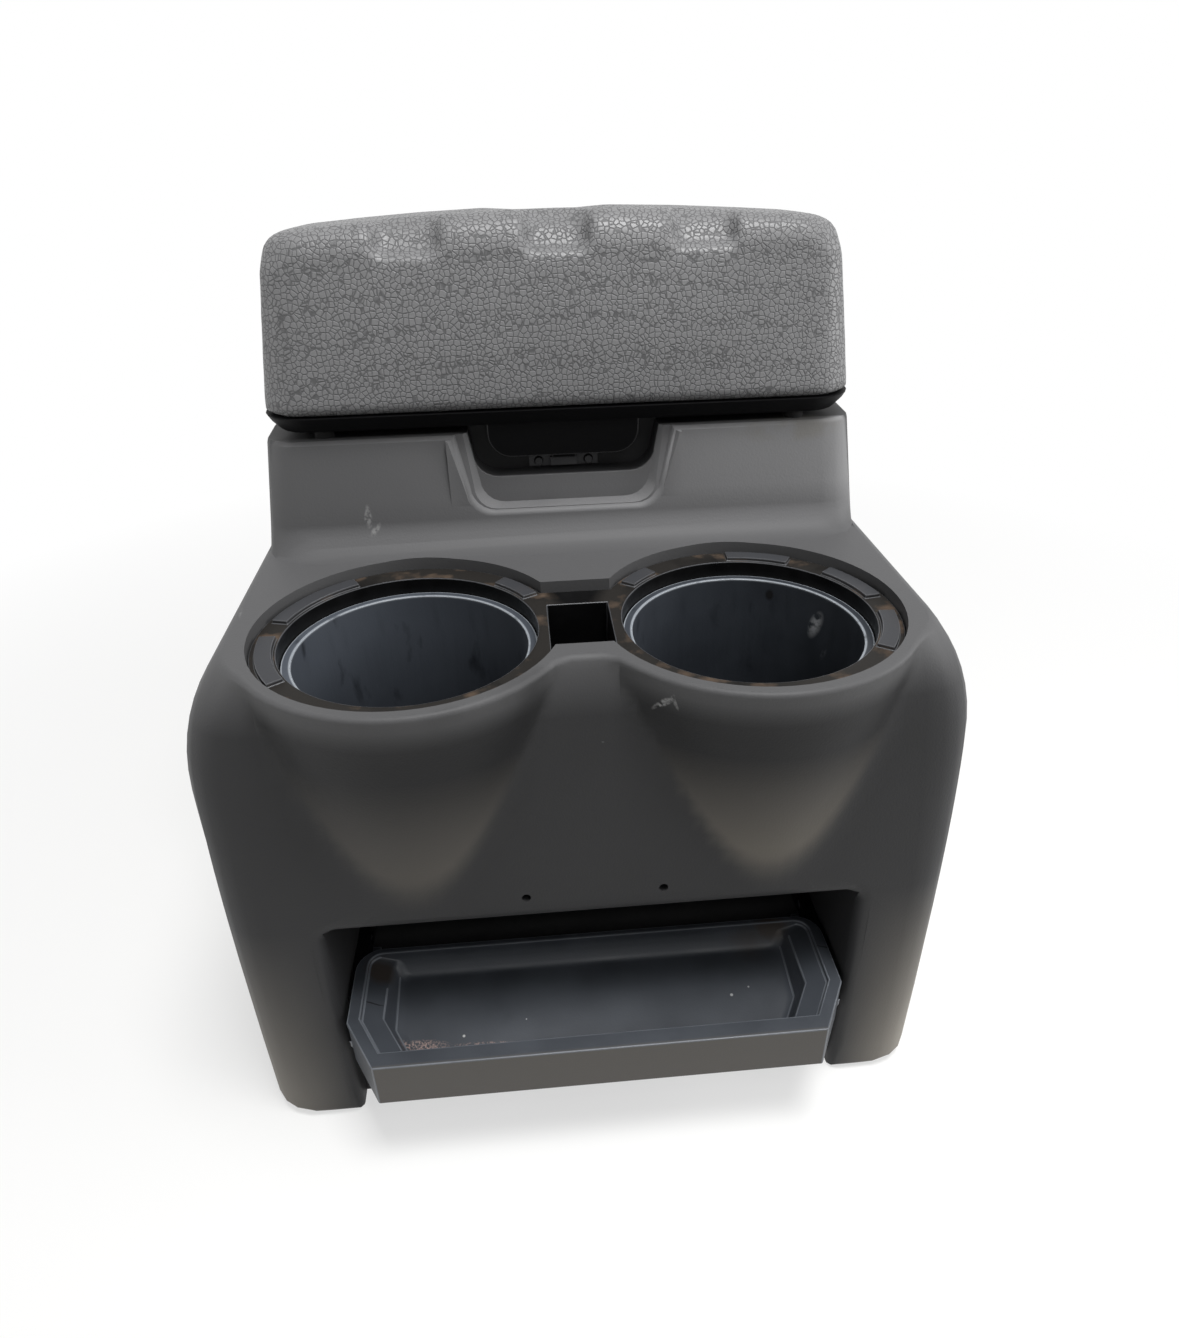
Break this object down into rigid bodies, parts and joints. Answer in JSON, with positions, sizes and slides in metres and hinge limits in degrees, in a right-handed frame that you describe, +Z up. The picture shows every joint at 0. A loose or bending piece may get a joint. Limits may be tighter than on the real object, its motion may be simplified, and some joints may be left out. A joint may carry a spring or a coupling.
{
  "type": "car center console",
  "caption": "Floor console with twin cup wells, a slot between them, a hinged padded armrest lid over a storage bin, a finger latch and a small slide-out tray.",
  "frame": {"origin": "on the floor, under the middle of the console's outline", "axes": "+Z up, +Y from the tray towards the hinged back of the lid, +X across the vehicle to the right"},
  "size_m": [0.286, 0.398, 0.3398],
  "materials": {
    "shell_plastic": "moulded, fine satin grain, charcoal, dusty and scuffed",
    "carrier_plastic": "moulded black with grey lands and old adhesive",
    "cup_plastic": "moulded blue-grey, hazed inside",
    "tray_plastic": "moulded blue-grey with pale wear along its rim",
    "rail_plastic": "moulded black",
    "bin_plastic": "moulded black",
    "pan_plastic": "moulded near-black",
    "latch_plastic": "moulded near-black",
    "armrest_vinyl": "charcoal vinyl with a pebbled leather grain",
    "bumper_rubber": "matt black",
    "screw_steel": "zinc plated",
    "pin_steel": "ground",
    "spring_steel": "drawn wire",
    "striker_steel": "zinc plated sheet",
    "bracket_steel": "grey primer",
    "hinge_steel": "black electrocoat"
  },
  "bodies": {
    "console": {"console_shell": "shell_plastic", "cup_carrier": "carrier_plastic", "cup_liner_left": "cup_plastic", "cup_liner_right": "cup_plastic", "tray_rail_left": "rail_plastic", "tray_rail_right": "rail_plastic", "rail_screws": "screw_steel", "storage_bin": "bin_plastic", "bin_screws": "screw_steel", "latch_striker": "striker_steel", "striker_screws": "screw_steel", "bumper_left": "bumper_rubber", "bumper_right": "bumper_rubber", "floor_bracket_front": "bracket_steel", "floor_bracket_rear": "bracket_steel", "bracket_screws": "screw_steel", "hinge_base": "hinge_steel", "hinge_base_screws": "screw_steel", "hinge_pin": "pin_steel"},
    "lid": {"hinge_arm": "hinge_steel", "hinge_arm_screws": "screw_steel", "lid_pan": "pan_plastic", "lid_core": "bin_plastic", "armrest_pad": "armrest_vinyl", "pan_screws": "screw_steel", "latch_pin": "pin_steel", "latch_spring": "spring_steel"},
    "latch": {"latch_paddle": "latch_plastic"},
    "tray": {"storage_tray": "tray_plastic"}
  },
  "joints": [
    {"name": "lid_hinge", "type": "hinge", "parent": "console", "child": "lid", "pos_m": [0, 0.1915, 0.2585], "axis": [-1, 0, 0], "range_deg": [0, 95]},
    {"name": "latch_pivot", "type": "hinge", "parent": "lid", "child": "latch", "pos_m": [0, -0.051, 0.277], "axis": [-1, 0, 0], "range_deg": [0, 11], "stiffness_Nm_per_rad": 0.06, "springref_deg": -17.19},
    {"name": "tray_slide", "type": "slide", "parent": "console", "child": "tray", "axis": [0, -1, 0], "range_m": [-0.014, 0.022]}
  ]
}
